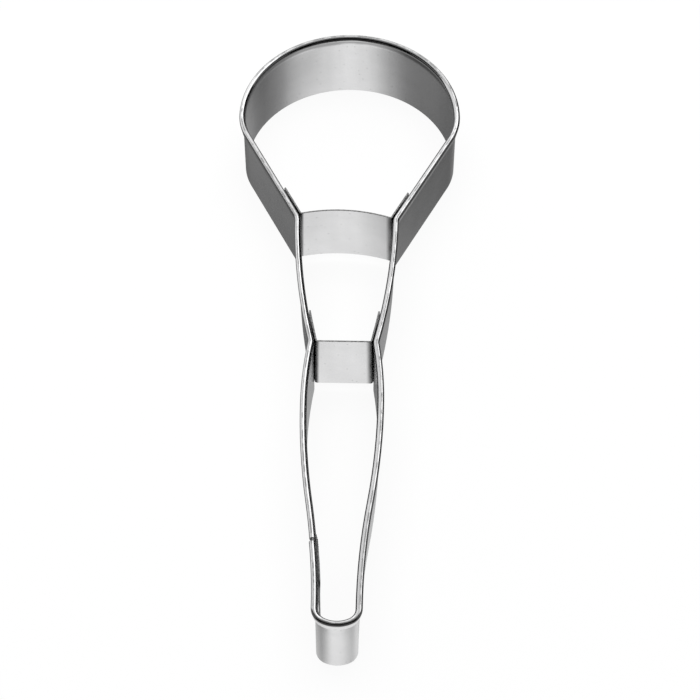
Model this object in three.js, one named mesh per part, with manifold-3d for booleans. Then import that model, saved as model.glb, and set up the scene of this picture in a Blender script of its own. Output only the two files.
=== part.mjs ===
// Cookie cutter in the outline of a powder brush.
// One hemmed sheet-metal band makes the outline, and two cross strips are spot-welded inside it.
// Millimetres, +Z up. The cutting edge lies on z = 0 and the brush head points along +Y.
import * as THREE from 'three';
import { mergeVertices } from 'three/addons/utils/BufferGeometryUtils.js';
import Module from 'manifold-3d';

const wasm = await Module();
wasm.setup();

// Sheet metal
const sheet = 0.3;
const bandHeight = 15;
const hemHollow = 0.6;       // clear width inside the fold
const hemInset = 0.2;        // how far the fold stands inside the wall
const hemShoulder = 0.75;    // outside radius of the fold towards the inside of the band
const hemDepth = 2;          // from the top of the fold to the end of its lip
const lipGap = 0.12;         // from the end of the lip to the wall
const hemThickness = 2 * sheet + hemHollow;

// Outline, all on the inside face of the band
const footWidth = 6.5;
const footEndRadius = 4.5;   // flat arc across the foot's end
const footCornerRadius = 2.2;
const bellyWidth = 12.6;     // widest place of the handle
const bellyFromWaist = 12.75;
const handleLength = 56.3;   // foot end to waist
const waistWidth = 10.6;
const ferruleLength = 28.15; // waist to neck
const ferruleBulge = 0.75;   // how far a ferrule side stands off its chord
const neckWidth = 17.2;
const headLength = 25;       // neck to the centre of the dome
const domeRadius = 20;
const shoulderRadius = 11.5; // round shoulder between dome and funnel side
const foldRadius = 3;        // inside radius of the folds at neck and waist

// Lap seam of the band, on the left of the handle
const seamFromFoot = 15.35;
const seamGap = 0.6;         // between the two butted ends of the hem
const lapStandOut = 0.12;    // how far the outer lap stands outside the outline at the seam
const lapLength = 8;
const lapRoot = 2.8;         // above the seam, where the inner lap leaves the wall
const lapGap = 0.15;         // between the two laps, bridged by the welds

// Cross strips
const stripDrop = 0.3;       // upper edge of a strip below the top of the band
const stripLift = 2;         // lower edge of a strip above the cutting edge
const stripHeight = bandHeight - stripDrop - stripLift;
const upperLeftFromFold = 0.65;  // front face from the neck fold towards the head, at the left end
const upperRightFromFold = -0.15; // the same at the right end
const lowerFromFold = -0.2;  // front face from the waist fold towards the head
const tabLength = 7;
const tabGap = 0.3;          // between a tab and the wall, bridged by the welds
const tabBendRadius = 0.5;   // outside radius of the bend between a tab and the strip's front
const upperBow = 1.3;        // middle of the upper strip towards the head

// Spot welds
const weldDiameter = 1.6;
const weldClearance = 0.03;  // weld to each sheet
const weldInset = 3.2;       // high and low welds from the edges of their tab

// Fineness of curved stretches
const footSteps = 4;
const handleSteps = 6;
const ferruleSteps = 8;
const shoulderSteps = 4;
const domeSteps = 14;
const foldSteps = 3;
const bowSteps = 10;
const hemSteps = 2;
const weldSides = 16;
const tiny = 1e-6;           // points closer than this are the same point

const steel = { color: 0xc8cbce, roughness: 0.32, metalness: 1 };
const lapShift = sheet + lapGap;
const waistY = handleLength;
const neckY = waistY + ferruleLength;
const domeY = neckY + headLength;
const footInset = footWidth / 2 - footCornerRadius;
const footY = footEndRadius - Math.sqrt((footEndRadius - footCornerRadius) ** 2 - footInset ** 2);

// Right half of the outline, from the foot end to the top of the dome, with the two folds rounded
function rightHalf() {
  const bellyY = waistY - bellyFromWaist;
  const footSide = new THREE.Vector2(footWidth / 2, footY);
  const belly = new THREE.Vector2(bellyWidth / 2, bellyY);
  const handleMiddle = footSide.clone().lerp(belly, 0.5);
  const waist = new THREE.Vector2(waistWidth / 2, waistY);
  const neck = new THREE.Vector2(neckWidth / 2, neckY);
  const footTurn = Math.atan2(footInset, footEndRadius - footY);
  const shoulderX = domeRadius - shoulderRadius;
  const funnelTurn = tangentAngle(neck, new THREE.Vector2(shoulderX, domeY), shoulderRadius);
  const points = chain([
    arc(0, footEndRadius, footEndRadius, -Math.PI / 2, footTurn - Math.PI / 2, footSteps),
    arc(footInset, footY, footCornerRadius, footTurn - Math.PI / 2, 0, footSteps),
    arcFromUpright(footSide, handleMiddle, handleSteps),
    arcFromUpright(belly, handleMiddle, handleSteps).reverse(),
    arcFromUpright(belly, waist, handleSteps),
    arcOnChord(waist, neck, ferruleBulge, ferruleSteps),
    arc(shoulderX, domeY, shoulderRadius, -funnelTurn, 0, shoulderSteps),
    arc(0, domeY, domeRadius, 0, Math.PI / 2, domeSteps),
  ]);
  return roundCorner(roundCorner(points, waist, foldRadius), neck, foldRadius);
}

function arc(x, y, radius, start, end, steps) {
  return new THREE.EllipseCurve(x, y, radius, radius, start, end, end < start).getPoints(steps);
}

// Arc that leaves its start along the Y axis and ends at a given point
function arcFromUpright(start, end, steps) {
  const way = end.clone().sub(start);
  const radius = way.lengthSq() / (2 * way.x);
  const turn = Math.asin(way.y / Math.abs(radius));
  const from = radius > 0 ? Math.PI : 0;
  return arc(start.x + radius, start.y, Math.abs(radius), from, from - Math.sign(radius) * turn, steps);
}

// Arc from start to end that stands off its chord to the right by the given height
function arcOnChord(start, end, height, steps) {
  const chord = end.clone().sub(start);
  const radius = (chord.lengthSq() / 4 + height ** 2) / (2 * height);
  const left = new THREE.Vector2(-chord.y, chord.x).normalize();
  const centre = start.clone().lerp(end, 0.5).addScaledVector(left, radius - height);
  const half = Math.asin(chord.length() / 2 / Math.abs(radius));
  const middle = Math.atan2(-left.y, -left.x) + (radius > 0 ? 0 : Math.PI);
  const sweepWay = Math.sign(radius) * half;
  return arc(centre.x, centre.y, Math.abs(radius), middle - sweepWay, middle + sweepWay, steps);
}

// Lists of points joined end to end, without the doubled points
function chain(lists) {
  const points = [];
  for (const point of lists.flat()) {
    if (points.length === 0 || points.at(-1).distanceTo(point) > tiny) points.push(point);
  }
  return points;
}

// Angle from +Y of the line that runs from a point past the right side of a circle, just touching it
function tangentAngle(point, centre, radius) {
  const way = centre.clone().sub(point);
  return Math.asin(radius / way.length()) + Math.atan2(way.x, way.y);
}

// The same points with the corner replaced by a bend of a given radius
function roundCorner(points, corner, radius) {
  const at = points.findIndex((point) => point.distanceTo(corner) < tiny);
  const into = corner.clone().sub(points[at - 1]);
  const out = points[at + 1].clone().sub(corner);
  const setback = radius * Math.tan(Math.acos(into.normalize().dot(out.normalize())) / 2);
  const before = stepBack(points.slice(0, at + 1), setback);
  const after = stepBack(points.slice(at).reverse(), setback).reverse();
  const bend = new THREE.QuadraticBezierCurve(before.at(-1), corner, after[0]);
  return chain([before, bend.getPoints(foldSteps), after]);
}

// The points of a line shortened at its end by a given length
function stepBack(points, length) {
  const kept = points.slice();
  let left = length;
  while (kept.length > 2 && kept.at(-1).distanceTo(kept.at(-2)) <= left) {
    left -= kept.at(-1).distanceTo(kept.at(-2));
    kept.pop();
  }
  const end = kept.pop();
  const share = left / end.distanceTo(kept.at(-1));
  kept.push(end.clone().lerp(kept.at(-1), share));
  return kept;
}

// The stretch of a rising line of points between two heights of y
function between(points, low, high) {
  const inside = points.filter((point) => point.y > low + tiny && point.y < high - tiny);
  return [pointAtY(points, low), ...inside, pointAtY(points, high)];
}

function pointAtY(points, y) {
  const next = points.findIndex((point, i) => i > 0 && point.y >= y);
  const a = points[next - 1];
  const b = points[next];
  return a.clone().lerp(b, (y - a.y) / (b.y - a.y));
}

// Vectors to the right of the way along a line of points, of unit length but longer at corners,
// so that the lines they offset to stay parallel
function rightVectors(points) {
  const ways = [];
  for (let i = 1; i < points.length; i += 1) ways.push(points[i].clone().sub(points[i - 1]).normalize());
  return points.map((point, i) => {
    const before = ways[Math.max(i - 1, 0)];
    const after = ways[Math.min(i, ways.length - 1)];
    const mean = before.clone().add(after).normalize();
    return new THREE.Vector2(mean.y, -mean.x).divideScalar(mean.dot(after));
  });
}

// The points moved to the right by a distance, which may depend on the point
function moved(points, distance) {
  const rights = rightVectors(points);
  return points.map((point, i) => point.clone().addScaledVector(rights[i], distance(point)));
}

function mirrored(points) {
  return points.map((point) => new THREE.Vector2(-point.x, point.y)).reverse();
}

// Closed solid of a section carried along a line of points.
// The section's x is to the right of the way and its y is up.
function sweep(points, section) {
  const rights = rightVectors(points);
  const corners = section.length;
  const positions = [];
  points.forEach((point, i) => {
    for (const corner of section) {
      const place = point.clone().addScaledVector(rights[i], corner.x);
      positions.push(place.x, place.y, corner.y);
    }
  });
  const index = [];
  for (let i = 0; i + 1 < points.length; i += 1) {
    for (let j = 0; j < corners; j += 1) {
      const a = i * corners + j;
      const b = i * corners + (j + 1) % corners;
      index.push(a, a + corners, b + corners, a, b + corners, b);
    }
  }
  const last = (points.length - 1) * corners;
  for (const [a, b, c] of THREE.ShapeUtils.triangulateShape(section, [])) {
    index.push(a, b, c, last + a, last + c, last + b);
  }
  const geometry = new THREE.BufferGeometry();
  geometry.setAttribute('position', new THREE.Float32BufferAttribute(positions, 3));
  geometry.setIndex(index);
  return geometry;
}

// Section of the band: plain wall with the hem folded over to its outside
function bandSection() {
  const crestX = hemShoulder - hemInset;
  const innerZ = bandHeight - hemShoulder;
  const outerShoulder = hemThickness - hemShoulder;
  const outerZ = bandHeight - outerShoulder;
  const lipZ = bandHeight - hemDepth;
  const lipInside = sheet + lipGap;
  const section = new THREE.Path();
  section.moveTo(0, 0);
  section.lineTo(sheet, 0);
  section.lineTo(sheet, lipZ);
  section.absarc(crestX, innerZ, hemShoulder - sheet, Math.PI, Math.PI / 2, true);
  section.absarc(crestX, outerZ, outerShoulder - sheet, Math.PI / 2, 0, true);
  section.lineTo(lipInside, lipZ);
  section.lineTo(lipInside + sheet, lipZ);
  section.absarc(crestX, outerZ, outerShoulder, 0, Math.PI / 2, false);
  section.absarc(crestX, innerZ, hemShoulder, Math.PI / 2, Math.PI, false);
  section.lineTo(0, lipZ);
  return chain([section.getPoints(hemSteps)]);
}

function plainSection(inside, outside, low, high) {
  return [
    new THREE.Vector2(inside, low), new THREE.Vector2(outside, low),
    new THREE.Vector2(outside, high), new THREE.Vector2(inside, high),
  ];
}

function solidOf(geometry) {
  const merged = mergeVertices(geometry, tiny);
  const vertProperties = new Float32Array(merged.getAttribute('position').array);
  const triVerts = new Uint32Array(merged.getIndex().array);
  return new wasm.Manifold(new wasm.Mesh({ numProp: 3, vertProperties, triVerts }));
}

function geometryOf(solid) {
  const mesh = solid.getMesh();
  const geometry = new THREE.BufferGeometry();
  geometry.setAttribute('position', new THREE.BufferAttribute(mesh.vertProperties, 3));
  geometry.setIndex(new THREE.BufferAttribute(mesh.triVerts, 1));
  return geometry;
}

const cutter = new THREE.Group();
cutter.position.y = -(domeY + domeRadius) / 2;

function addPiece(name, geometry) {
  geometry.computeVertexNormals();
  const mesh = new THREE.Mesh(geometry, new THREE.MeshStandardMaterial(steel));
  mesh.name = name;
  cutter.add(mesh);
  return mesh;
}

const rightSide = rightHalf();

// How far the outer lap stands outside the outline: full at the seam, easing to nothing at the foot
function outerLapShift(point) {
  const share = (point.y - footY) / (seamFromFoot - footY);
  return lapStandOut * Math.min(Math.max(share, 0), 1) ** 2;
}

// How far the inner lap stands off the outline: nothing where it leaves the wall, full from the seam on
function innerLapShift(point) {
  const share = (seamFromFoot + lapRoot - point.y) / (lapRoot - seamGap / 2);
  return (outerLapShift(point) - lapShift) * Math.min(Math.max(share, 0), 1);
}

// Outline band: starts with the outer lap at the seam, goes round foot, right side and dome,
// and ends with the inner lap
function outlineBand() {
  const outerLap = between(rightSide, 0, seamFromFoot - seamGap / 2);
  const start = moved(mirrored(outerLap), outerLapShift);
  const rest = between(rightSide, seamFromFoot + seamGap / 2, domeY + domeRadius);
  const hemmed = chain([start, rightSide, mirrored(rest)]);
  const wall = solidOf(sweep(hemmed, bandSection()));
  const lap = solidOf(sweep(innerLapLine(), plainSection(0, sheet, 0, bandHeight - hemDepth)));
  return geometryOf(wall.add(lap));
}

// Line of the inner lap: out of the wall above the seam, then along the inside of the outer lap
function innerLapLine() {
  const seamEnd = seamFromFoot + seamGap / 2;
  const lap = between(rightSide, seamFromFoot - lapLength, seamEnd);
  const joggle = between(rightSide, seamEnd, seamFromFoot + lapRoot);
  return moved(mirrored(chain([lap, joggle])), innerLapShift);
}

// Line of a tab's outer face, from the strip's front face straight up along the inside of the right wall
function tabLine(foldY, fromFold) {
  const wall = between(rightSide, foldY + foldRadius, domeY);
  const inner = moved(wall, () => -tabGap);
  const way = inner[1].clone().sub(inner[0]);
  const reach = (foldY + fromFold - inner[0].y) / way.y;
  const line = [inner[0].clone().addScaledVector(way, reach), ...inner];
  let length = 0;
  for (let i = 1; i < line.length; i += 1) length += line[i].distanceTo(line[i - 1]);
  return stepBack(line, length - tabLength);
}

// Cross strip: left tab, front and right tab bent from one strip of sheet
function crossStrip(tabs, bow) {
  const leftTab = mirrored(tabs.left);
  const leftCorner = leftTab.at(-1);
  const rightCorner = tabs.right[0];
  const front = bow > 0 ? arcOnChord(leftCorner, rightCorner, -bow, bowSteps) : [];
  let line = chain([leftTab, front, tabs.right]);
  line = roundCorner(line, leftCorner, tabBendRadius);
  line = roundCorner(line, rightCorner, tabBendRadius);
  return sweep(line, plainSection(-sheet, 0, stripLift, stripLift + stripHeight));
}

// Place and rightward unit vector at a length along a line of points
function placeAlong(points, length) {
  let left = length;
  let i = 1;
  while (i + 1 < points.length && points[i].distanceTo(points[i - 1]) < left) {
    left -= points[i].distanceTo(points[i - 1]);
    i += 1;
  }
  const way = points[i].clone().sub(points[i - 1]).normalize();
  const point = points[i - 1].clone().addScaledVector(way, left);
  return { point, right: new THREE.Vector2(way.y, -way.x) };
}

// Weld nugget: a flat disc that bridges a gap to the right of a line of points; side -1 mirrors it
function addWeld(name, line, length, gapStart, gap, z, side) {
  const { point, right } = placeAlong(line, length);
  const middle = point.addScaledVector(right, gapStart + gap / 2);
  const thickness = gap - 2 * weldClearance;
  const disc = new THREE.CylinderGeometry(weldDiameter / 2, weldDiameter / 2, thickness, weldSides);
  const weld = addPiece(name, disc);
  weld.position.set(side * middle.x, middle.y, z);
  weld.rotation.z = Math.atan2(-side * right.x, right.y);
}

function addTabWelds(strip, tabs) {
  const middle = (tabLength + tabBendRadius) / 2;
  const heights = { low: stripLift + weldInset, high: stripLift + stripHeight - weldInset };
  for (const [side, sign] of [['left', -1], ['right', 1]]) {
    for (const [level, z] of Object.entries(heights)) {
      addWeld(`${strip}_${side}_weld_${level}`, tabs[side], middle, 0, tabGap, z, sign);
    }
  }
}

function addSeamWelds() {
  const line = innerLapLine();
  const middle = lapRoot + (seamGap + lapLength) / 2;
  const low = weldInset;
  const high = bandHeight - hemDepth - weldInset;
  const heights = { low, middle: (low + high) / 2, high };
  for (const [level, z] of Object.entries(heights)) {
    addWeld(`seam_weld_${level}`, line, middle, sheet, lapGap, z, 1);
  }
}

// Tabs of the two strips, each as if it were on the right
const upperTabs = { left: tabLine(neckY, upperLeftFromFold), right: tabLine(neckY, upperRightFromFold) };
const lowerTab = tabLine(waistY, lowerFromFold);
const lowerTabs = { left: lowerTab, right: lowerTab };

addPiece('outline_band', outlineBand());
addPiece('upper_cross_strip', crossStrip(upperTabs, upperBow));
addPiece('lower_cross_strip', crossStrip(lowerTabs, 0));
addTabWelds('upper', upperTabs);
addTabWelds('lower', lowerTabs);
addSeamWelds();

export default cutter;
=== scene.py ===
"""Looks of a tinplate cookie cutter in the outline of a powder brush.

The band and the two cross strips are bent from flat sheet: a row of edges is carried along
straights and bends, and the sheet then gets its thickness. Metres, +Z up, head along +Y.
"""
import math

import bmesh
import bpy
from mathutils import Matrix, Vector, noise


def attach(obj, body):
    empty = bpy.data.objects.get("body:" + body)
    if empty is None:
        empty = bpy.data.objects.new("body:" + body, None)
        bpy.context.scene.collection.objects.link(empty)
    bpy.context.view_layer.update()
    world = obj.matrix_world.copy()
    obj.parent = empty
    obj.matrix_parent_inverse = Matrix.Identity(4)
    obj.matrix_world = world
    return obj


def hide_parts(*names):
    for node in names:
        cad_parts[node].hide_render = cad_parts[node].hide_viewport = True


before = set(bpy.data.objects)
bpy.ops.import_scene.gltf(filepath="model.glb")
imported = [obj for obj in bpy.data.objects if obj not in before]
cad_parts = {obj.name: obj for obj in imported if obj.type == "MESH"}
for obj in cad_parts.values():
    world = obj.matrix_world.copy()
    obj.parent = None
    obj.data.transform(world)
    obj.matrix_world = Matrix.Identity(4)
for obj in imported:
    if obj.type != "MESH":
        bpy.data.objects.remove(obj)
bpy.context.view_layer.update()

MM = 0.001
UP = Vector((0, 0, 1))
RIGHT = Vector((1, 0, 0))

# Sheet metal
SHEET = 0.3 * MM
BAND_HEIGHT = 15 * MM
HEM_THICKNESS = 1.2 * MM
HEM_INSET = 0.2 * MM
HEM_SHOULDER = 0.75 * MM
HEM_DEPTH = 2 * MM
HEM_LEAN = math.radians(10)
CREASE_RADIUS = 2 * MM
LIP_GAP = 0.12 * MM
EDGE_ROUNDING = 0.035 * MM
EDGE_ANGLE = math.radians(60)
TOUCHING = 0.0001 * MM

# Outline, on the inside face of the band
FOOT_WIDTH = 6.5 * MM
FOOT_END_RADIUS = 4.5 * MM
FOOT_CORNER_RADIUS = 2.2 * MM
BELLY_WIDTH = 12.6 * MM
BELLY_FROM_WAIST = 12.75 * MM
HANDLE_LENGTH = 56.3 * MM
WAIST_WIDTH = 10.6 * MM
FERRULE_LENGTH = 28.15 * MM
FERRULE_BULGE = 0.75 * MM
NECK_WIDTH = 17.2 * MM
HEAD_LENGTH = 25 * MM
DOME_RADIUS = 20 * MM
SHOULDER_RADIUS = 11.5 * MM
FOLD_RADIUS = 3 * MM

# Lap seam on the left of the handle
SEAM_FROM_FOOT = 15.35 * MM
SEAM_GAP = 0.6 * MM
LAP_STAND_OUT = 0.12 * MM
LAP_LENGTH = 8 * MM
LAP_ROOT = 2.8 * MM
LAP_GAP = 0.15 * MM
LAP_SUNK = 0.05 * MM
LAP_HEIGHT = 13.6 * MM
LAP_UPRIGHT = 10.4 * MM
LAP_LEAN = math.radians(1.5)
LAP_LEAN_RADIUS = 1 * MM
LAP_CORNER = 0.9 * MM
BEAD_COUNT = 9
BEAD_RADIUS = 0.11 * MM
BEAD_SPREAD = 0.45
BEAD_WANDER = 0.5
BEAD_DENTS = 0.3
DENTS_PER_BEAD = 1.3
BEAD_STRETCH = (0.8, 1.5, 1.1)
BEAD_NOISE_STEP = 1.7
BEAD_NOISE_ROWS = (0.3, 3.4, 6.6)
BEADS_PAST_ROOT = 0.8 * MM
BEADS_CLIMB = 1.5

# Cross strips; the tabs stand off the wall by the gap at their tops, and by the press less at their feet
STRIP_HEIGHT = 12.7 * MM
STRIP_LIFT = 2 * MM
UPPER_LEFT_FROM_FOLD = 0.65 * MM
UPPER_RIGHT_FROM_FOLD = -0.15 * MM
LOWER_FROM_FOLD = -0.2 * MM
TAB_LENGTH = 7 * MM
TAB_GAP = 0.3 * MM
TAB_PRESS = 0.25 * MM
TAB_BEND_RADIUS = 0.5 * MM
UPPER_BOW = 1.3 * MM

# Tinplate: patterns as features per mm along and across the sheet, shades as shares, widths in mm
NOISE_SPAN = (0.3, 0.7)
CLOUDS_PER_MM = (0.12, 0.2, 1)
BANDS_PER_MM = (0.35, 0.02, 1)
ROLL_LINES_PER_MM = (0.15, 9, 1)
TIN_SHADE = (0.7125, 0.78)
BAND_SHADE = (0.97, 1.03)
ROLL_SHADE = (0.998, 1.002)
TIN_BLUE = 1.005
WALL_ROUGH = 0.27
HEM_ROUGH = 0.13
ROLL_ROUGH = 0.003
GRAIN_PULL = 0.5
QUARTER_TURN = 0.25
WAVINESS = 0.012 * MM
HEM_WAVES = 0.3
HEM_FADE_IN = 0.3
HEM_FADE_OUT = (-0.2, 0.1)

# Marks on the tinplate, each with its share of dulling: specks, a darker band under the hem, painted rim
# shade, scuffs, and weld smoke with painted shade in the bends
SPECK_DULL = 0.3
SPECK_CELLS_PER_MM = 1.3
SPECK_CLOUDING = 0.6
SPECK_CHOICE = (0.98, 1.0)
SPECK_SIZE = (0.1, 0.2)
# A darker band on the wall just under the hem
UNDER_HEM_DARKENING = 0.5
UNDER_HEM_UNEVEN = 0.3
UNDER_HEM_RISE = 0.9
# Painted shade and painted dark reflection along both turns of the hem
RIM_PAINTED_SHADE = 0.7
INNER_RIM_PAINTED_SHADE = (0.2, 0.35, 0.55, 0.7)
OUTER_RIM_PAINTED_SHADE = (-0.38, -0.25, 0.0, 0.2)
SCUFF_DULL = 0.55
SCUFF_ROUGH = 0.15
SCUFFS_PER_MM = (0.5, 0.3, 1)
SCUFF_CHOICE = (0.46, 0.58)
SCUFF_WIDTH = (0.05, 0.16)
# Weld smoke with painted shade of the gap to the wall, in a strip's bends
SMOKE_AND_SHADE_DULL = 0.9
SMOKE_AND_SHADE_ON_LEFT = 0.4
SMOKE_AND_SHADE_ON_RIGHT = 0.8
SMOKE_AND_SHADE_FULL = 0.15
SMOKE_AND_SHADE_FADE = (2.0, 4.5)
SMOKE_AND_SHADE_CLOUDS = (0.3, 0.6)
SMOKE_AND_SHADE_LEAST = 0.8

# Worn metals, each as dark and pale shade, roughness and grains per metre
CUT_EDGE = (0.22, 0.42, 0.5, 3000)
WELD_METAL = (0.3, 0.5, 0.5, 2500)
BURNT_WELD = (0.02, 0.16, 0.5, 4000)
GRAIN_SPAN = (0.35, 0.65)
GRAIN_ROUGH = 0.1
GRAIN_DEPTH = 0.02 * MM

# Camera, fitted to the photograph's 700 by 700 frame
CAMERA_TARGET = Vector((1.04, -5.162, 7.5)) * MM
CAMERA_DISTANCE = 411.7 * MM
CAMERA_ELEVATION = math.radians(54.08)
CAMERA_TURN = math.radians(-1.12)
CAMERA_LENS = 117.58
CAMERA_NEAR = 10 * MM

# Lamps, each as degrees to the right of +Y and above the floor, distance, size and watts; the dim ones
# overhead, in front, left and right are there for the rim as other views show it
BACK_PANEL = ((0, 27), 0.6, (0.55, 0.45), 0.74)
CREST_PANEL = ((0, 60), 0.6, (0.9, 0.32), 0.64)
RIGHT_SOFTBOX = ((40, 50), 0.6, (0.4, 0.26), 0.28)
LEFT_SOFTBOX = ((-48, 18), 0.6, (0.5, 0.5), 0.65)
OVERHEAD_PANEL = ((0, 90), 0.6, (0.9, 0.3), 0.15)
FRONT_PANEL = ((180, 20), 0.6, (0.9, 0.2), 0.06)
LEFT_PANEL = ((-90, 22), 0.6, (0.5, 0.2), 0.06)
RIGHT_PANEL = ((90, 22), 0.6, (0.5, 0.2), 0.06)
TABLE_LAMP = ((0, 90), 0.9, (0.9, 0.9), 9.0)
ROOM_SHADE = 0.004

# Pale table
FLOOR_HALF = 1.5
FLOOR_DROP = 0.05 * MM
FLOOR_WHITE = 0.92
PAPER_SHADE = 0.88
PAPER_ROUGH = 0.9
PAPER_GLOSS = 0.1

# White card under the glass table, glowing with painted light: white in front, grey to its sides and to the
# back,
# # brighter at its left, and paler again farther out all round
CARD_HALF = 1.5
CARD_DEPTH = 0.15
CARD_MIDDLE = 0.019
CARD_SKEW = 0.13                         # shift of its middle to the right per metre to the back
CARD_SIDES = (0.055, 0.15, 0.17, 0.3)    # from, to, grey on the left, grey on the right
CARD_SIDE_BLEND = 0.05
CARD_NARROWING = (7.0, 5.0)              # how much nearer the sides come per metre, to the back and front
CARD_FRONT = -0.05
CARD_BACK = (-0.03, 0.14, 0.38)          # from, to, share of the level
CARD_LEFT = (-0.095, -0.2, 0.2)          # from, to, added level
CARD_LEAST = 0.13
CARD_AROUND = (0.35, 0.8, 0.5)           # from, to, level

# Worked out from the sizes above
OUTER_SHOULDER = HEM_THICKNESS - HEM_SHOULDER
LEAN_LENGTH = (HEM_INSET - (CREASE_RADIUS + HEM_SHOULDER) * (1 - math.cos(HEM_LEAN))) / math.sin(HEM_LEAN)
WALL_HEIGHT = (BAND_HEIGHT - HEM_SHOULDER - (HEM_SHOULDER + CREASE_RADIUS) * math.sin(HEM_LEAN)
               - LEAN_LENGTH * math.cos(HEM_LEAN))
WAIST_Y = HANDLE_LENGTH
NECK_Y = WAIST_Y + FERRULE_LENGTH
DOME_Y = NECK_Y + HEAD_LENGTH
FOOT_INSET = FOOT_WIDTH / 2 - FOOT_CORNER_RADIUS
FOOT_Y = FOOT_END_RADIUS - math.sqrt((FOOT_END_RADIUS - FOOT_CORNER_RADIUS) ** 2 - FOOT_INSET ** 2)
FOOT_TURN = math.atan2(FOOT_INSET, FOOT_END_RADIUS - FOOT_Y)
MODEL_SHIFT = Vector((0, -(DOME_Y + DOME_RADIUS) / 2, 0))

# Runs up the band's section in mm, as on the sheet map
WALL_RUN = WALL_HEIGHT / MM
SHOULDER_RUN = WALL_RUN + (CREASE_RADIUS * HEM_LEAN + LEAN_LENGTH) / MM
CREST_RUN = SHOULDER_RUN + HEM_SHOULDER * (math.pi / 2 + HEM_LEAN) / MM
CURL_RUN = CREST_RUN + OUTER_SHOULDER * math.pi / 2 / MM


class SheetBender:
    """Carries a row of vertices or edges along straights and bends, and measures the run in mm."""

    def __init__(self, bm, row, place, heading, axis, layer, run=0.0, count=1):
        self.bm = bm
        self.row = row
        self.place = Vector(place)
        self.heading = Vector(heading).normalized()
        self.axis = Vector(axis)
        self.layer = layer
        self.run = run
        self.count = count

    def carry(self, length, **motion):
        made = bmesh.ops.spin(self.bm, geom=self.row, steps=1, **motion)
        self.row = made["geom_last"]
        self.run += self.count * length / MM
        for part in self.row:
            if isinstance(part, bmesh.types.BMVert):
                part[self.layer] = self.run

    def straight(self, length, steps=1):
        step = self.heading * length / steps
        for _ in range(steps):
            self.carry(length / steps, cent=self.place, axis=self.axis, dvec=step, angle=0)
            self.place += step

    def bend(self, radius, turn, steps):
        """Turns left by a positive turn and right by a negative one."""
        side = math.copysign(1, turn)
        centre = self.place + self.axis.cross(self.heading) * side * radius
        step = Matrix.Rotation(turn / steps, 3, self.axis)
        for _ in range(steps):
            self.carry(radius * abs(turn) / steps, cent=centre, axis=self.axis, angle=turn / steps)
            self.place = centre + step @ (self.place - centre)
            self.heading = step @ self.heading


def new_sheet():
    bm = bmesh.new()
    along = bm.verts.layers.float.new("along")
    across = bm.verts.layers.float.new("across")
    return bm, along, across


def added_row(bm, known_edges):
    """Vertices and edges that a sheet has gained since the known edges."""
    edges = [edge for edge in bm.edges if edge not in known_edges]
    verts = {vert for edge in edges for vert in edge.verts}
    return sorted(verts, key=lambda vert: vert.co.z) + edges


def upright_row(bm, across, place, length):
    """Row of edges that stands upright on a place."""
    known = set(bm.edges)
    bender = SheetBender(bm, [bm.verts.new(place)], place, UP, RIGHT, across)
    bender.straight(length, 4)
    return added_row(bm, known)


def arc_on_chord(run, rise, height):
    """Radius of an arc that stands off its chord by a height, and half the angle it turns."""
    chord = math.hypot(run, rise)
    radius = (chord ** 2 / 4 + height ** 2) / (2 * height)
    return radius, math.asin(chord / 2 / radius)


def arc_from_tangent(aside, ahead):
    """Radius and turn of an arc that leaves straight ahead and ends aside of its start."""
    radius = (aside ** 2 + ahead ** 2) / (2 * aside)
    return radius, math.asin(ahead / radius)


def outline_bends():
    """Turns of one side of the outline from the foot to the top of the dome, as (radius, turn, steps).

    A stretch with no turn is a straight, and its first number is the length.
    """
    half_flare = (BELLY_WIDTH - FOOT_WIDTH) / 4
    handle_radius, handle_turn = arc_from_tangent(half_flare, (WAIST_Y - BELLY_FROM_WAIST - FOOT_Y) / 2)
    belly_radius, belly_turn = arc_from_tangent((BELLY_WIDTH - WAIST_WIDTH) / 2, BELLY_FROM_WAIST)
    ferrule_radius, ferrule_half = ferrule_arc()
    ferrule_lean = math.atan2((NECK_WIDTH - WAIST_WIDTH) / 2, FERRULE_LENGTH)
    funnel_turn, funnel_length = funnel_line()
    waist_turn = belly_turn + ferrule_lean + ferrule_half
    neck_turn = funnel_turn - (ferrule_lean - ferrule_half)
    waist_back = FOLD_RADIUS * math.tan(waist_turn / 2)
    neck_back = FOLD_RADIUS * math.tan(neck_turn / 2)
    belly_cut = waist_back / belly_radius
    low_cut = waist_back / ferrule_radius
    high_cut = neck_back / ferrule_radius
    return [
        (FOOT_END_RADIUS, FOOT_TURN, 6),
        (FOOT_CORNER_RADIUS, math.pi / 2 - FOOT_TURN, 12),
        (handle_radius, -handle_turn, 8),
        (handle_radius, handle_turn, 8),
        (belly_radius, belly_turn - belly_cut, 8),
        (FOLD_RADIUS, -(waist_turn - belly_cut - low_cut), 8),
        (ferrule_radius, 2 * ferrule_half - low_cut - high_cut, 12),
        (FOLD_RADIUS, -(neck_turn - high_cut), 8),
        (funnel_length - neck_back, 0, 6),
        (SHOULDER_RADIUS, funnel_turn, 12),
        (DOME_RADIUS, math.pi / 2, 36),
    ]


def ferrule_arc():
    return arc_on_chord((NECK_WIDTH - WAIST_WIDTH) / 2, FERRULE_LENGTH, FERRULE_BULGE)


def funnel_line():
    """Lean of a funnel side from +Y and its length from the neck to the round shoulder."""
    aside = DOME_RADIUS - SHOULDER_RADIUS - NECK_WIDTH / 2
    reach = math.hypot(aside, HEAD_LENGTH)
    lean = math.asin(SHOULDER_RADIUS / reach) + math.atan2(aside, HEAD_LENGTH)
    return lean, math.sqrt(reach ** 2 - SHOULDER_RADIUS ** 2)


def follow(bender, bends):
    for size, turn, steps in bends:
        if turn:
            bender.bend(size, turn, steps)
        else:
            bender.straight(size, steps)


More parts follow.
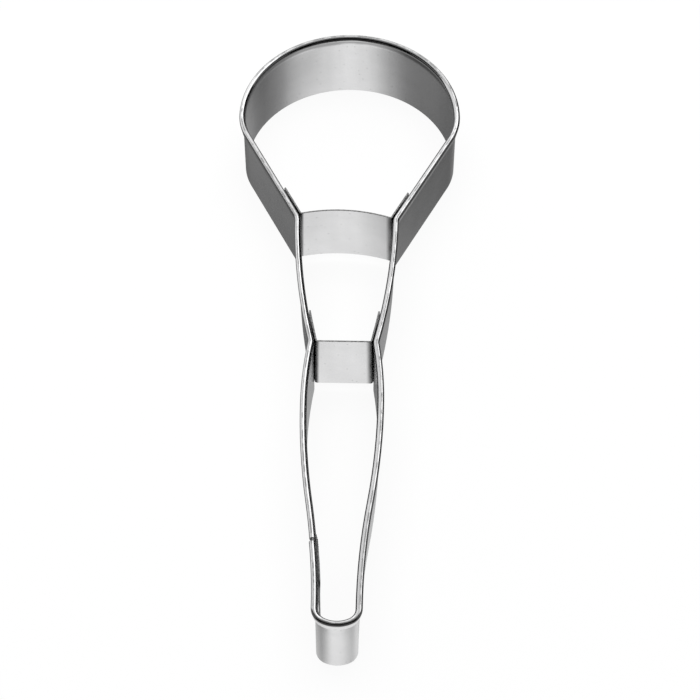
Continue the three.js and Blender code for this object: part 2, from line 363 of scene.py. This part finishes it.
def band_section(bm, across):
    """Row of edges across the band at the middle of the foot: wall, crease, round hem and lip."""
    outward = Vector((0, -1, 0))
    hem_out = HEM_THICKNESS - HEM_INSET
    lip_lean = math.atan2(hem_out - 2 * SHEET - LIP_GAP, HEM_DEPTH - OUTER_SHOULDER)
    lip_length = (HEM_DEPTH - OUTER_SHOULDER * (1 + math.sin(lip_lean))) / math.cos(lip_lean)
    bender = SheetBender(bm, [bm.verts.new((0, 0, 0))], (0, 0, 0), UP, UP.cross(outward), across)
    bender.straight(WALL_HEIGHT, 4)
    bender.bend(CREASE_RADIUS, -HEM_LEAN, 3)
    bender.straight(LEAN_LENGTH)
    bender.bend(HEM_SHOULDER, HEM_LEAN + math.pi / 2, 16)
    bender.bend(OUTER_SHOULDER, math.pi / 2 + lip_lean, 10)
    bender.straight(lip_length, 2)
    return added_row(bm, set())


def finish_sheet(name, bm, along, across, thickness_side, materials):
    """Mesh object from a bent sheet: shift to the model's frame, map, thickness and eased edges."""
    bmesh.ops.translate(bm, verts=bm.verts[:], vec=MODEL_SHIFT)
    sheet_map = bm.loops.layers.uv.new("sheet_map")
    for face in bm.faces:
        face.smooth = True
        for loop in face.loops:
            loop[sheet_map].uv = (loop.vert[along], loop.vert[across])
    piece = mesh_object(name, bm, materials)
    thickness = piece.modifiers.new("sheet_thickness", "SOLIDIFY")
    thickness.thickness = SHEET
    thickness.offset = thickness_side
    thickness.use_even_offset = True
    thickness.use_quality_normals = True
    thickness.material_offset_rim = 1
    eased = piece.modifiers.new("eased_edges", "BEVEL")
    eased.width = EDGE_ROUNDING
    eased.segments = 2
    eased.profile = 0.5
    eased.limit_method = "ANGLE"
    eased.angle_limit = EDGE_ANGLE
    eased.harden_normals = True
    return piece


def mesh_object(name, bm, materials):
    mesh = bpy.data.meshes.new(name)
    bm.to_mesh(mesh)
    bm.free()
    for material in materials:
        mesh.materials.append(material)
    made = bpy.data.objects.new(name, mesh)
    bpy.context.scene.collection.objects.link(made)
    return made


def outline_band(cut_edge):
    """The band: from the foot round the right side and the dome down to the seam, from the foot up
    the left side to the outer lap, and the inner lap behind it."""
    bm, along, across = new_sheet()
    section = band_section(bm, across)
    bends = outline_bends()
    foot_bends = bends[:2]
    handle_radius, handle_turn, handle_steps = bends[2]
    bends_past_handle = bends[3:]

    # Long way round, ending above the seam
    seam_turn = math.asin((SEAM_FROM_FOOT + SEAM_GAP / 2 - FOOT_Y) / handle_radius)
    long_way = SheetBender(bm, section, (0, 0, 0), RIGHT, UP, along)
    follow(long_way, bends + bends_past_handle[::-1])
    long_way.bend(handle_radius, handle_turn + seam_turn, handle_steps)

    # Short way, up the left of the foot to the outer lap
    lap_radius = outer_lap_radius(handle_radius)
    lap_turn = math.asin((SEAM_FROM_FOOT - SEAM_GAP / 2 - FOOT_Y) / lap_radius)
    short_way = SheetBender(bm, section, (0, 0, 0), -RIGHT, UP, along, count=-1)
    follow(short_way, [(size, -turn, steps) for size, turn, steps in foot_bends])
    short_way.bend(lap_radius, lap_turn, 12)
    bmesh.ops.remove_doubles(bm, verts=bm.verts[:], dist=TOUCHING)
    bmesh.ops.recalc_face_normals(bm, faces=bm.faces[:])
    inner_lap(bm, along, across, long_way.run, handle_radius)
    materials = (tinplate("band_tinplate"), cut_edge)
    return finish_sheet("outline_band_sheet", bm, along, across, -1, materials)


def outer_lap_radius(handle_radius):
    """Radius of the outer lap, which leaves the foot's side upright and stands off at the seam."""
    ahead = SEAM_FROM_FOOT - FOOT_Y
    aside = handle_radius - math.sqrt(handle_radius ** 2 - ahead ** 2) + LAP_STAND_OUT
    return arc_from_tangent(aside, ahead)[0]


def lap_start(handle_radius):
    """Place above the seam where the inner lap leaves the wall, and its heading down the handle."""
    ahead = SEAM_FROM_FOOT + LAP_ROOT - FOOT_Y
    lean = math.asin(ahead / handle_radius)
    aside = FOOT_WIDTH / 2 + handle_radius * (1 - math.cos(lean)) + LAP_SUNK
    return Vector((-aside, FOOT_Y + ahead, 0)), Vector((math.sin(lean), -math.cos(lean), 0))


def lap_joggle():
    """Radius and turn of the two bends that carry the inner lap from the wall to inside the outer lap."""
    shift = SHEET + LAP_GAP - LAP_STAND_OUT + LAP_SUNK
    length = LAP_ROOT - SEAM_GAP / 2
    turn = 2 * math.atan2(shift, length)
    return length / (2 * math.sin(turn)), turn


def lap_row(bm, across, place, heading):
    """Row of edges across the inner lap: upright, then leaning off the outer lap."""
    known = set(bm.edges)
    bender = SheetBender(bm, [bm.verts.new(place)], place, UP, -heading, across)
    bender.straight(LAP_UPRIGHT, 3)
    bender.bend(LAP_LEAN_RADIUS, LAP_LEAN, 2)
    bender.straight(LAP_HEIGHT - LAP_UPRIGHT, 2)
    return added_row(bm, known)


def inner_lap(bm, along, across, run, handle_radius):
    """The plain end of the band: a tongue that leaves the wall above the seam and goes on down inside
    the outer lap, with a rounded upper corner."""
    band_faces = set(bm.faces)
    place, heading = lap_start(handle_radius)
    row = lap_row(bm, across, place, heading)
    bender = SheetBender(bm, row, place, heading, UP, along, run)
    radius, turn = lap_joggle()
    bender.bend(radius, turn, 5)
    bender.bend(radius, -turn, 5)
    inside_radius = outer_lap_radius(handle_radius) + SHEET + LAP_GAP
    bender.bend(inside_radius, -(LAP_LENGTH + SEAM_GAP / 2) / inside_radius, 7)
    corner = max((part for part in bender.row if isinstance(part, bmesh.types.BMVert)),
                 key=lambda vert: vert.co.z)
    rounded = bmesh.ops.bevel(bm, geom=[corner], offset=LAP_CORNER, affect="VERTICES", segments=5,
                              profile=0.5, material=-1)
    for vert in rounded["verts"]:
        vert[along] = bender.run
        vert[across] = vert.co.z / MM
    lap_faces = [face for face in bm.faces if face not in band_faces]
    bm.normal_update()
    bmesh.ops.reverse_faces(bm, faces=[face for face in lap_faces if face.normal.x < 0])


def seam_beads(weld_metal):
    """Ragged beads of weld along the top of the joggle, where the inner lap leaves the wall."""
    bm = bmesh.new()
    handle_radius = outline_bends()[2][0]
    place, heading = lap_start(handle_radius)
    inward = UP.cross(heading)
    shift = SHEET + LAP_GAP - LAP_STAND_OUT
    lean_out = (LAP_HEIGHT - LAP_UPRIGHT) * math.sin(LAP_LEAN)
    for i in range(BEAD_COUNT):
        share = i / (BEAD_COUNT - 1)

        # Each bead has its own place in the noise, for its size, height and dents
        wander = Vector([noise.noise(Vector((i * BEAD_NOISE_STEP, row, 0.9))) for row in BEAD_NOISE_ROWS])
        radius = BEAD_RADIUS * (1 + BEAD_SPREAD * wander.x)
        climb = min(share * BEADS_CLIMB, 1)
        ease = climb ** 2 * (3 - 2 * climb)
        centre = place + heading * (LAP_ROOT + BEADS_PAST_ROOT) * share + inward * (shift * ease + lean_out)
        centre += UP * (LAP_HEIGHT - radius * BEAD_WANDER * wander.y) + MODEL_SHIFT
        made = bmesh.ops.create_icosphere(bm, subdivisions=2, radius=radius)["verts"]
        for vert in made:
            vert.co *= 1 + BEAD_DENTS * noise.noise(vert.co / radius * DENTS_PER_BEAD + wander * 9)
        bmesh.ops.scale(bm, verts=made, vec=BEAD_STRETCH)
        bmesh.ops.translate(bm, verts=made, vec=centre)
    for face in bm.faces:
        face.smooth = True
    return mesh_object("seam_weld_beads", bm, (weld_metal,))


def upper_cross_strip(cut_edge):
    """Strip across the neck: front bowed towards the head, tabs along the funnel sides."""
    bm, along, across = new_sheet()
    lean, _ = funnel_line()
    left = upper_corner(-1, UPPER_LEFT_FROM_FOLD, lean)
    right = upper_corner(1, UPPER_RIGHT_FROM_FOLD, lean)
    chord = right - left
    skew = math.atan2(chord.y, chord.x)
    heading = chord.normalized()
    bow_radius, bow_half = arc_on_chord(chord.x, chord.y, UPPER_BOW)
    middle = (left + right) / 2 + UP.cross(heading) * UPPER_BOW
    section = upright_row(bm, across, middle + UP * STRIP_LIFT, STRIP_HEIGHT)
    bend_runs = []
    for side in (-1, 1):
        corner_turn = math.pi / 2 - lean + bow_half - side * skew
        back = TAB_BEND_RADIUS * math.tan(corner_turn / 2)
        back_turn = back / bow_radius
        bender = SheetBender(bm, section, middle, heading * side, UP, along, count=side)
        bender.bend(bow_radius, -side * (bow_half - back_turn), 14)
        bend_runs.append(bender.run)
        bender.bend(TAB_BEND_RADIUS, side * (corner_turn - back_turn), 10)
        bender.straight(TAB_LENGTH - back, 6)
    press_tabs(bm, right.x)
    bmesh.ops.recalc_face_normals(bm, faces=bm.faces[:])
    materials = (tinplate("upper_strip_tinplate", bend_runs), cut_edge)
    return finish_sheet("upper_cross_strip_sheet", bm, along, across, 1, materials)


def upper_corner(side, from_fold, lean):
    """Corner between the upper strip's front and its tab on one side."""
    aside = NECK_WIDTH / 2 + from_fold * math.tan(lean) - TAB_GAP / math.cos(lean)
    return Vector((side * aside, NECK_Y + from_fold, 0))


def press_tabs(bm, corner_x):
    """Leans a strip's ends out, so that the tabs' feet lie near the wall and their tops clear the hem."""
    for vert in bm.verts:
        share = (STRIP_LIFT + STRIP_HEIGHT - vert.co.z) / STRIP_HEIGHT
        vert.co.x += TAB_PRESS * share * max(-1, min(vert.co.x / corner_x, 1))


def lower_cross_strip(cut_edge):
    """Strip across the waist: straight front, tabs along the ferrule sides."""
    bm, along, across = new_sheet()
    radius, half = ferrule_arc()
    lean_middle = math.atan2((NECK_WIDTH - WAIST_WIDTH) / 2, FERRULE_LENGTH)
    start_lean = lean_middle + half
    centre = Vector((WAIST_WIDTH / 2 - radius * math.cos(start_lean),
                     WAIST_Y + radius * math.sin(start_lean), 0))
    leave_lean = math.asin((centre.y - WAIST_Y - FOLD_RADIUS) / radius)
    tab_radius = radius - TAB_GAP
    leave = centre + Vector((math.cos(leave_lean), -math.sin(leave_lean), 0)) * tab_radius
    front_y = WAIST_Y + LOWER_FROM_FOLD
    corner = Vector((leave.x - (leave.y - front_y) * math.tan(leave_lean), front_y, 0))
    flat = (leave.y - front_y) / math.cos(leave_lean)
    corner_turn = math.pi / 2 - leave_lean
    back = TAB_BEND_RADIUS * math.tan(corner_turn / 2)
    middle = Vector((0, front_y, 0))
    section = upright_row(bm, across, middle + UP * STRIP_LIFT, STRIP_HEIGHT)
    bend_runs = []
    for side in (-1, 1):
        bender = SheetBender(bm, section, middle, RIGHT * side, UP, along, count=side)
        bender.straight(corner.x - back, 8)
        bend_runs.append(bender.run)
        bender.bend(TAB_BEND_RADIUS, side * corner_turn, 10)
        bender.straight(flat - back, 3)
        bender.bend(tab_radius, side * (TAB_LENGTH - flat) / tab_radius, 6)
    press_tabs(bm, corner.x)
    bmesh.ops.recalc_face_normals(bm, faces=bm.faces[:])
    materials = (tinplate("lower_strip_tinplate", bend_runs), cut_edge)
    return finish_sheet("lower_cross_strip_sheet", bm, along, across, 1, materials)


def add_node(tree, kind, inputs=None, **settings):
    """New node with its settings; an input is a value, or another node's output to link."""
    made = tree.nodes.new(kind)
    for name, value in settings.items():
        setattr(made, name, value)
    for name, value in (inputs or {}).items():
        if isinstance(value, bpy.types.NodeSocket):
            tree.links.new(value, made.inputs[name])
        else:
            made.inputs[name].default_value = value
    return made


def calc(tree, operation, *values):
    """Output of a math node on numbers or other outputs."""
    return add_node(tree, "ShaderNodeMath", dict(enumerate(values)), operation=operation).outputs["Value"]


def remap(tree, value, start, end, low=0.0, high=1.0, soft=False):
    """A value carried from start to end onto low to high, held level outside."""
    kind = "SMOOTHSTEP" if soft else "LINEAR"
    return add_node(tree, "ShaderNodeMapRange", {"Value": value, "From Min": start, "From Max": end,
                                                 "To Min": low, "To Max": high},
                    interpolation_type=kind).outputs["Result"]


def pattern(tree, place, per_unit, detail=2.0, shift=0.0):
    """Noise with so many features per unit of length along each axis."""
    mapped = add_node(tree, "ShaderNodeMapping", {"Vector": place, "Scale": per_unit,
                                                  "Location": (shift, shift, shift)})
    return add_node(tree, "ShaderNodeTexNoise", {"Vector": mapped.outputs["Vector"], "Scale": 1.0,
                                                 "Detail": detail}).outputs["Fac"]


def stretch(tree, run, rise_start, rise_end, fall_start, fall_end):
    """Mask of a stretch along a run, which rises to 1 and falls again."""
    return calc(tree, "SUBTRACT", remap(tree, run, rise_start, rise_end),
                remap(tree, run, fall_start, fall_end))


def metal(name):
    material = bpy.data.materials.new(name)
    material.use_nodes = True
    shader = material.node_tree.nodes["Principled BSDF"]
    shader.inputs["Metallic"].default_value = 1
    return material, material.node_tree, shader


def tinplate(name, bend_runs=None):
    """Rolled tinplate: cloudy tin, fine roll lines, faint upright bands from bending, dark specks,
    a darker band under the hem, painted shade and painted dark reflection along both turns of the hem,
    a scuffed crest and, on a cross strip, weld smoke with painted shade in its bends."""
    material, tree, shader = metal(name)
    sheet_map = add_node(tree, "ShaderNodeUVMap", uv_map="sheet_map").outputs["UV"]
    runs = add_node(tree, "ShaderNodeSeparateXYZ", {"Vector": sheet_map}).outputs
    clouds = pattern(tree, sheet_map, CLOUDS_PER_MM, detail=4)
    bands = pattern(tree, sheet_map, BANDS_PER_MM, detail=1.5, shift=4.0)
    roll_lines = pattern(tree, sheet_map, ROLL_LINES_PER_MM, detail=2, shift=8.0)
    hem = stretch(tree, runs["Y"], SHOULDER_RUN, SHOULDER_RUN + HEM_FADE_IN,
                  *(CURL_RUN + past for past in HEM_FADE_OUT))

    scuffs = scuff_mask(tree, sheet_map, runs)
    shade = remap(tree, clouds, *NOISE_SPAN, *TIN_SHADE)
    shade = calc(tree, "MULTIPLY", shade, remap(tree, bands, *NOISE_SPAN, *BAND_SHADE))
    shade = calc(tree, "MULTIPLY", shade, remap(tree, roll_lines, *NOISE_SPAN, *ROLL_SHADE))
    shade = dulled(tree, shade, speck_mask(tree, sheet_map, clouds), SPECK_DULL)
    shade = dulled(tree, shade, under_hem_band_mask(tree, runs, clouds), UNDER_HEM_DARKENING)
    # Painted shade and painted dark reflection along the hem's turns
    shade = dulled(tree, shade, painted_rim_shade_mask(tree, runs), RIM_PAINTED_SHADE)
    shade = dulled(tree, shade, scuffs, SCUFF_DULL)
    # Weld smoke with painted shade in the strip's bends
    if bend_runs:
        shade = dulled(tree, shade, smoke_and_shade_mask(tree, runs, clouds, bend_runs), SMOKE_AND_SHADE_DULL)
    tint = add_node(tree, "ShaderNodeCombineColor", {"Red": shade, "Green": shade,
                                                     "Blue": calc(tree, "MULTIPLY", shade, TIN_BLUE)})
    rough = remap(tree, hem, 0, 1, WALL_ROUGH, HEM_ROUGH)
    rough = calc(tree, "ADD", rough, remap(tree, roll_lines, *NOISE_SPAN, -ROLL_ROUGH, ROLL_ROUGH))
    rough = calc(tree, "ADD", rough, remap(tree, scuffs, 0, 1, 0, SCUFF_ROUGH))
    waves = add_node(tree, "ShaderNodeBump", {"Height": bands, "Distance": WAVINESS,
                                              "Strength": remap(tree, hem, 0, 1, 1, HEM_WAVES)})
    tangent = add_node(tree, "ShaderNodeTangent", direction_type="UV_MAP", uv_map="sheet_map")
    tree.links.new(tint.outputs["Color"], shader.inputs["Base Color"])
    tree.links.new(rough, shader.inputs["Roughness"])
    tree.links.new(waves.outputs["Normal"], shader.inputs["Normal"])
    tree.links.new(tangent.outputs["Tangent"], shader.inputs["Tangent"])
    shader.inputs["Anisotropic"].default_value = GRAIN_PULL
    shader.inputs["Anisotropic Rotation"].default_value = QUARTER_TURN
    return material


def dulled(tree, shade, mask, share):
    """A shade lowered by a share where a mask is full."""
    return calc(tree, "MULTIPLY", shade, remap(tree, mask, 0, 1, 1, 1 - share))


def speck_mask(tree, sheet_map, clouds):
    """Pin-prick specks, in a few of the cells that the sheet is divided into, more in its pale clouds."""
    cells = add_node(tree, "ShaderNodeTexVoronoi", {"Vector": sheet_map,
                                                    "Scale": SPECK_CELLS_PER_MM}).outputs
    chosen = add_node(tree, "ShaderNodeSeparateColor", {"Color": cells["Color"]}).outputs["Red"]
    chosen = calc(tree, "MULTIPLY_ADD", clouds, SPECK_CLOUDING, chosen)
    round_speck = remap(tree, cells["Distance"], *SPECK_SIZE, 1, 0)
    return calc(tree, "MULTIPLY", remap(tree, chosen, *SPECK_CHOICE), round_speck)


def under_hem_band_mask(tree, runs, clouds):
    """Darker band on the wall just under the hem, with an uneven lower edge."""
    start = remap(tree, clouds, *NOISE_SPAN, WALL_RUN - UNDER_HEM_UNEVEN, WALL_RUN + UNDER_HEM_UNEVEN)
    rise = remap(tree, calc(tree, "SUBTRACT", runs["Y"], start), 0, UNDER_HEM_RISE, soft=True)
    below_hem = remap(tree, runs["Y"], SHOULDER_RUN, SHOULDER_RUN + HEM_FADE_IN, 1, 0)
    return calc(tree, "MULTIPLY", rise, below_hem)


def painted_rim_shade_mask(tree, runs):
    """Painted shade and painted dark reflection along both turns of the hem, on its inner shoulder and
    where it curls down outside.
    """
    inner_shade = stretch(tree, runs["Y"], *(SHOULDER_RUN + past for past in INNER_RIM_PAINTED_SHADE))
    outer_shade = stretch(tree, runs["Y"], *(CURL_RUN + past for past in OUTER_RIM_PAINTED_SHADE))
    return calc(tree, "ADD", inner_shade, outer_shade)


def scuff_mask(tree, sheet_map, runs):
    """Broken scuff line along the crest of the hem."""
    breaks = remap(tree, pattern(tree, sheet_map, SCUFFS_PER_MM, detail=2, shift=2.0), *SCUFF_CHOICE)
    off_crest = calc(tree, "ABSOLUTE", calc(tree, "SUBTRACT", runs["Y"], CREST_RUN))
    return calc(tree, "MULTIPLY", remap(tree, off_crest, *SCUFF_WIDTH, 1, 0), breaks)


def smoke_and_shade_mask(tree, runs, clouds, bend_runs):
    """Dark weld smoke with painted shade of the gap to the wall at a strip's two bends, fading out on its
    front and along its tabs.
    """
    left, right = bend_runs
    past_left = calc(tree, "SUBTRACT", left, runs["X"])
    past_right = calc(tree, "SUBTRACT", runs["X"], right)
    rise = calc(tree, "MAXIMUM", remap(tree, past_left, -SMOKE_AND_SHADE_ON_LEFT, SMOKE_AND_SHADE_FULL, soft=True),
                remap(tree, past_right, -SMOKE_AND_SHADE_ON_RIGHT, SMOKE_AND_SHADE_FULL, soft=True))
    fall = remap(tree, calc(tree, "MAXIMUM", past_left, past_right), *SMOKE_AND_SHADE_FADE, 1, 0, soft=True)
    uneven = remap(tree, clouds, *SMOKE_AND_SHADE_CLOUDS, SMOKE_AND_SHADE_LEAST, 1)
    return calc(tree, "MULTIPLY", calc(tree, "MULTIPLY", rise, fall), uneven)


def worn_metal(name, dark, pale, rough, per_metre):
    """Dull metal that varies from dark to pale in grains of a given fineness."""
    material, tree, shader = metal(name)
    place = add_node(tree, "ShaderNodeTexCoord").outputs["Object"]
    grains = pattern(tree, place, (per_metre, per_metre, per_metre), detail=4)
    shade = remap(tree, grains, *GRAIN_SPAN, dark, pale)
    worn_rough = remap(tree, grains, *GRAIN_SPAN, rough + GRAIN_ROUGH, rough - GRAIN_ROUGH)
    tint = add_node(tree, "ShaderNodeCombineColor", {"Red": shade, "Green": shade, "Blue": shade})
    bump = add_node(tree, "ShaderNodeBump", {"Height": grains, "Strength": 1.0, "Distance": GRAIN_DEPTH})
    tree.links.new(tint.outputs["Color"], shader.inputs["Base Color"])
    tree.links.new(worn_rough, shader.inputs["Roughness"])
    tree.links.new(bump.outputs["Normal"], shader.inputs["Normal"])
    return material


def flat_sheet(name, half, z, material):
    bm = bmesh.new()
    bmesh.ops.create_grid(bm, x_segments=1, y_segments=1, size=half)
    bmesh.ops.translate(bm, verts=bm.verts[:], vec=(0, 0, z))
    mesh_object(name, bm, (material,))


def table_material():
    """Pale table: white when seen, with a faint shadow, and clear to what the metal mirrors, as glass
    over a white card is."""
    material = bpy.data.materials.new("pale_table")
    material.use_nodes = True
    tree = material.node_tree
    paper = tree.nodes["Principled BSDF"]
    paper.inputs["Base Color"].default_value = (PAPER_SHADE, PAPER_SHADE, PAPER_SHADE, 1)
    paper.inputs["Roughness"].default_value = PAPER_ROUGH
    paper.inputs["Specular IOR Level"].default_value = PAPER_GLOSS
    white = add_node(tree, "ShaderNodeEmission", {"Strength": 1.0}).outputs["Emission"]
    path = add_node(tree, "ShaderNodeLightPath").outputs
    seen = calc(tree, "MAXIMUM", path["Is Camera Ray"], path["Is Transmission Ray"])
    share = calc(tree, "MULTIPLY", seen, FLOOR_WHITE)
    table = add_node(tree, "ShaderNodeMixShader", {0: share, 1: paper.outputs["BSDF"], 2: white})
    clear = add_node(tree, "ShaderNodeBsdfTransparent").outputs["BSDF"]
    glass = add_node(tree, "ShaderNodeMixShader", {0: path["Is Glossy Ray"], 1: table.outputs["Shader"],
                                                   2: clear})
    tree.links.new(glass.outputs["Shader"], tree.nodes["Material Output"].inputs["Surface"])
    return material


def card_material():
    """Glowing white card that is mirrored in the walls, its light painted on: it falls to grey at its sides
    and its back, its left is brighter again, and far out it is a paler grey all round."""
    material = bpy.data.materials.new("white_card")
    material.use_nodes = True
    material.cycles.emission_sampling = "NONE"
    tree = material.node_tree
    place = add_node(tree, "ShaderNodeTexCoord").outputs["Object"]
    axes = add_node(tree, "ShaderNodeSeparateXYZ", {"Vector": place}).outputs
    middle = calc(tree, "MULTIPLY_ADD", axes["Y"], CARD_SKEW, CARD_MIDDLE)
    aside = calc(tree, "SUBTRACT", axes["X"], middle)
    near, far, left_grey, right_grey = CARD_SIDES
    grey = remap(tree, aside, -CARD_SIDE_BLEND, CARD_SIDE_BLEND, left_grey, right_grey)
    to_back, to_front = CARD_NARROWING
    behind = calc(tree, "MAXIMUM", axes["Y"], 0.0)
    before = calc(tree, "MAXIMUM", calc(tree, "SUBTRACT", CARD_FRONT, axes["Y"]), 0.0)
    narrowed = calc(tree, "MULTIPLY_ADD", before, to_front, 1.0)
    narrowed = calc(tree, "MULTIPLY_ADD", behind, to_back, narrowed)
    away = calc(tree, "MULTIPLY", calc(tree, "ABSOLUTE", aside), narrowed)
    sides = remap(tree, away, near, far, 1.0, grey, soft=True)
    near, far, grey = CARD_BACK
    level = calc(tree, "MULTIPLY", sides, remap(tree, axes["Y"], near, far, 1.0, grey, soft=True))
    level = calc(tree, "MAXIMUM", level, CARD_LEAST)
    near, far, lit = CARD_LEFT
    level = calc(tree, "ADD", level, remap(tree, axes["X"], near, far, 0.0, lit, soft=True))
    near, far, pale = CARD_AROUND
    out = calc(tree, "SQRT", calc(tree, "MULTIPLY_ADD", axes["X"], axes["X"],
                                  calc(tree, "MULTIPLY", axes["Y"], axes["Y"])))
    level = remap(tree, out, near, far, level, pale, soft=True)
    glow = add_node(tree, "ShaderNodeEmission", {"Color": level, "Strength": 1.0})
    tree.links.new(glow.outputs["Emission"], tree.nodes["Material Output"].inputs["Surface"])
    return material


def make_camera():
    data = bpy.data.cameras.new("photo_camera")
    data.lens = CAMERA_LENS
    data.clip_start = CAMERA_NEAR
    camera = bpy.data.objects.new("photo_camera", data)
    flat = math.cos(CAMERA_ELEVATION)
    ahead = Vector((flat * math.sin(CAMERA_TURN), flat * math.cos(CAMERA_TURN),
                    -math.sin(CAMERA_ELEVATION)))
    camera.location = CAMERA_TARGET - ahead * CAMERA_DISTANCE
    camera.rotation_euler = ahead.to_track_quat("-Z", "Y").to_euler()
    bpy.context.scene.collection.objects.link(camera)
    bpy.context.scene.camera = camera


def soft_lamp(name, angles, away, size, watts):
    """Rectangular lamp that faces the cutter and isn't itself seen."""
    around, above = (math.radians(angle) for angle in angles)
    flat = math.cos(above)
    data = bpy.data.lights.new(name, "AREA")
    data.shape = "RECTANGLE"
    data.size, data.size_y = size
    data.energy = watts
    lamp = bpy.data.objects.new(name, data)
    lamp.location = Vector((flat * math.sin(around), flat * math.cos(around), math.sin(above))) * away
    lamp.rotation_euler = (-lamp.location).to_track_quat("-Z", "Y").to_euler()
    lamp.visible_camera = False
    bpy.context.scene.collection.objects.link(lamp)
    return lamp


def make_light():
    soft_lamp("back_panel", *BACK_PANEL)
    soft_lamp("crest_panel", *CREST_PANEL)
    soft_lamp("right_softbox", *RIGHT_SOFTBOX)
    soft_lamp("left_softbox", *LEFT_SOFTBOX)
    soft_lamp("overhead_panel", *OVERHEAD_PANEL)
    soft_lamp("front_panel", *FRONT_PANEL)
    soft_lamp("left_panel", *LEFT_PANEL)
    soft_lamp("right_panel", *RIGHT_PANEL)
    soft_lamp("table_lamp", *TABLE_LAMP).visible_glossy = False
    world = bpy.data.worlds.new("dim_room")
    bpy.context.scene.world = world
    world.use_nodes = True
    background = world.node_tree.nodes["Background"]
    background.inputs["Color"].default_value = (ROOM_SHADE, ROOM_SHADE, ROOM_SHADE, 1)
    background.inputs["Strength"].default_value = 1


def main():
    bpy.context.scene.view_settings.view_transform = "Standard"
    make_camera()
    make_light()
    flat_sheet("floor", FLOOR_HALF, -FLOOR_DROP, table_material())
    flat_sheet("white_card", CARD_HALF, -CARD_DEPTH, card_material())
    cut_edge = worn_metal("cut_edge", *CUT_EDGE)
    weld_metal = worn_metal("weld_metal", *WELD_METAL)
    burnt_weld = worn_metal("burnt_weld", *BURNT_WELD)
    for make, node in ((outline_band, "outline_band"), (upper_cross_strip, "upper_cross_strip"),
                       (lower_cross_strip, "lower_cross_strip")):
        piece = make(cut_edge)
        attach(piece, "root")
        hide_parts(node)
    beads = seam_beads(burnt_weld)
    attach(beads, "root")
    for name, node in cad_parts.items():
        if "weld" in name:
            node.data.materials.clear()
            node.data.materials.append(weld_metal)


main()
